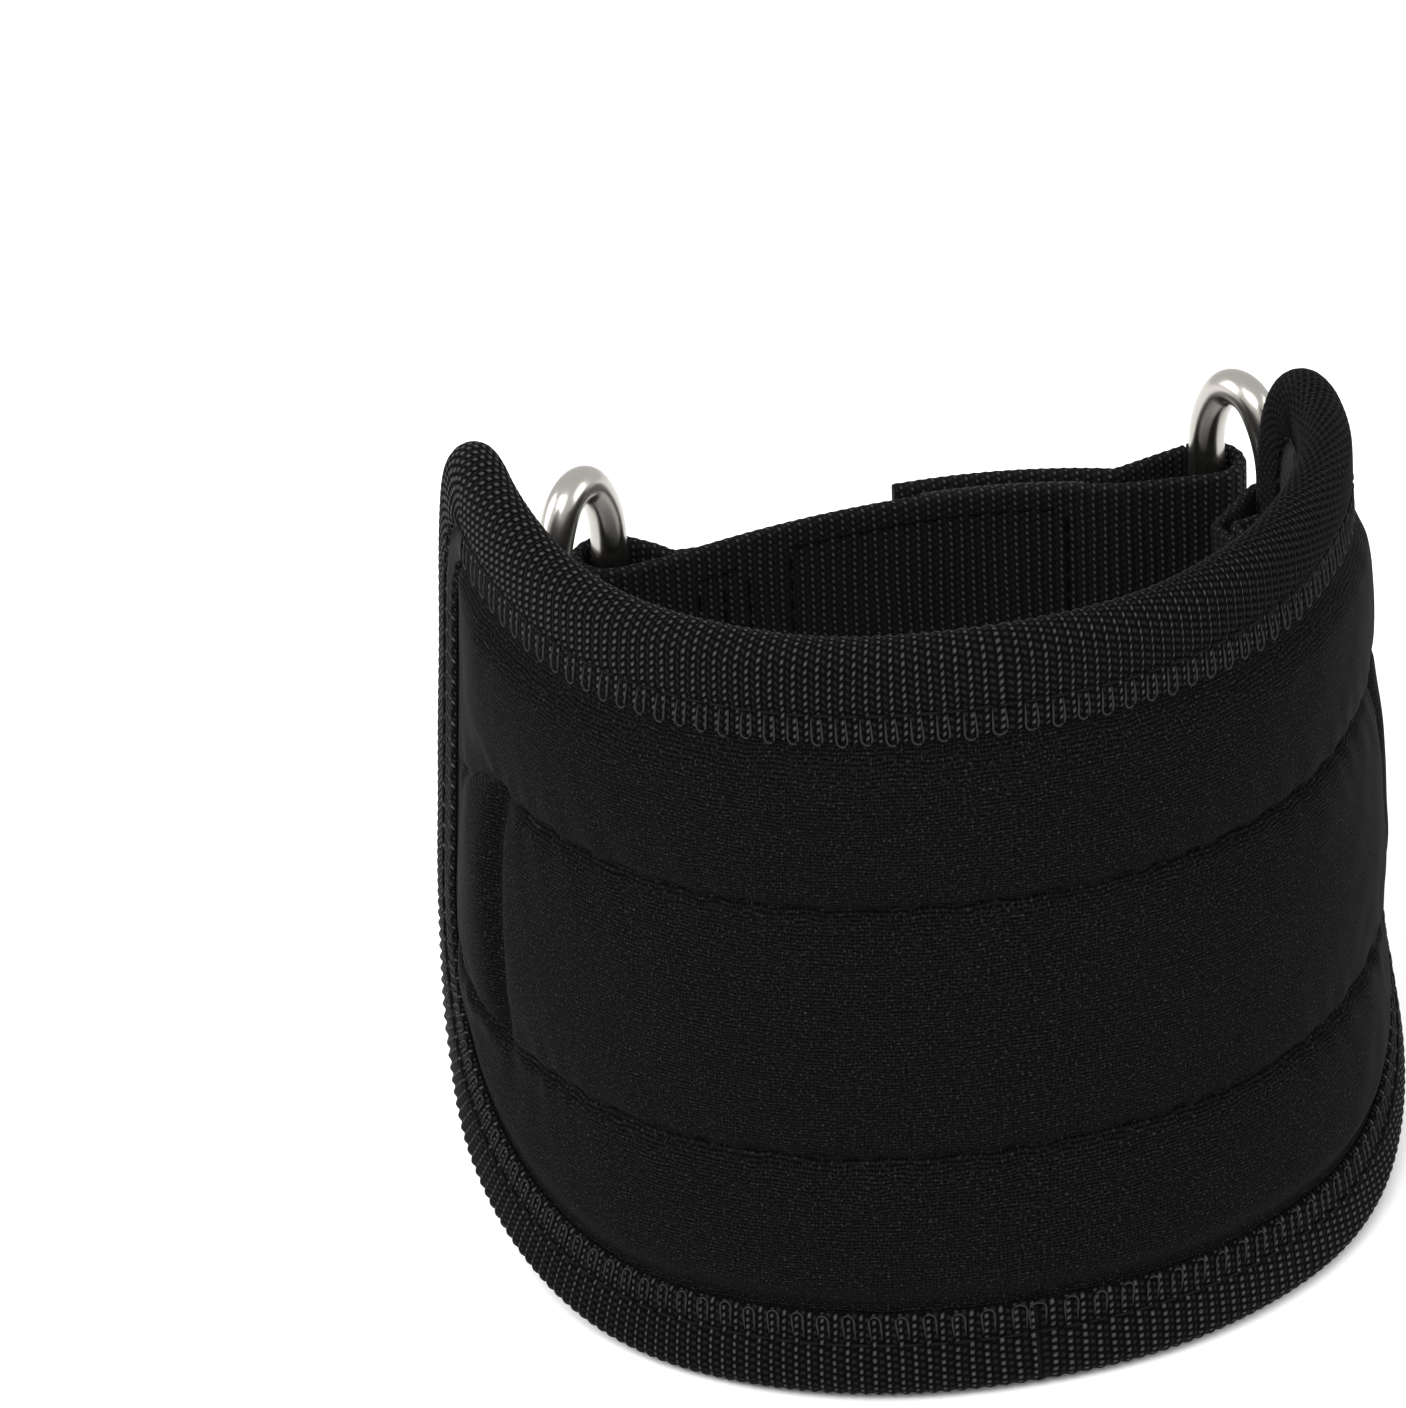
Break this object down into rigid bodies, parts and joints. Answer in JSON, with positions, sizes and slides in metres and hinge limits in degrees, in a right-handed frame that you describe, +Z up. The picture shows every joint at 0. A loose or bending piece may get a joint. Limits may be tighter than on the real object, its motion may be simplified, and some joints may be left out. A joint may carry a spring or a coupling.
{
  "type": "ankle cuff weight",
  "caption": "C-shaped padded ankle cuff with sand-filled sewn channels, a bound edge, wire rings on webbing tabs and a hook-and-loop strap that folds back through a ring.",
  "frame": {"origin": "bottom centre of the whole cuff, in the plane it stands on", "axes": "+Z up along the limb, -Y towards the middle of the padded wall, +X to the cuff's right seen from -Y"},
  "size_m": [0.1127, 0.0982, 0.096],
  "materials": {
    "knit_cover": "fine black scuba knit over neoprene, slight sheen",
    "lining": "smooth black lining knit",
    "foam": "closed-cell neoprene sponge",
    "pouch_fabric": "tight plain-weave pouch cloth",
    "iron_sand": "fine iron shot",
    "binding_tape": "ribbed woven binding tape",
    "thread": "bonded sewing thread",
    "webbing": "ribbed polypropylene webbing",
    "loop_pile": "soft loop pile",
    "hook_tape": "moulded nylon hooks",
    "ring_wire": "polished nickel-plated steel wire"
  },
  "bodies": {
    "cuff": {"outer_cover": "knit_cover", "inner_lining": "lining", "foam_pad": "foam", "sand_pouch_upper": "pouch_fabric", "sand_pouch_middle": "pouch_fabric", "sand_pouch_lower": "pouch_fabric", "iron_sand_upper": "iron_sand", "iron_sand_middle": "iron_sand", "iron_sand_lower": "iron_sand", "edge_binding": "binding_tape", "binding_stitching": "thread", "channel_stitching_upper": "thread", "channel_stitching_lower": "thread", "ring_tab_left": "webbing", "ring_tab_right": "webbing", "tab_stitching_left": "thread", "tab_stitching_right": "thread", "strap": "webbing", "strap_anchor_stitching": "thread", "loop_patch": "loop_pile", "loop_patch_stitching": "thread"},
    "left_ring": {"ring_left": "ring_wire"},
    "right_ring": {"ring_right": "ring_wire"},
    "tail": {"strap_tail": "webbing", "hook_patch": "hook_tape", "hook_patch_stitching": "thread"}
  },
  "joints": [
    {"name": "left_ring_swing", "type": "hinge", "parent": "cuff", "child": "left_ring", "pos_m": [-0.03689, 0.03342, 0.0475], "axis": [0, 0, 1], "range_deg": [-4, 4]},
    {"name": "right_ring_swing", "type": "hinge", "parent": "cuff", "child": "right_ring", "pos_m": [0.05145, 0.03251, 0.0475], "axis": [0, 0, 1], "range_deg": [-4, 4]},
    {"name": "tail_peel", "type": "hinge", "parent": "cuff", "child": "tail", "pos_m": [0.04386, 0.04766, 0.046], "axis": [0, 0, -1], "range_deg": [0, 150]}
  ]
}
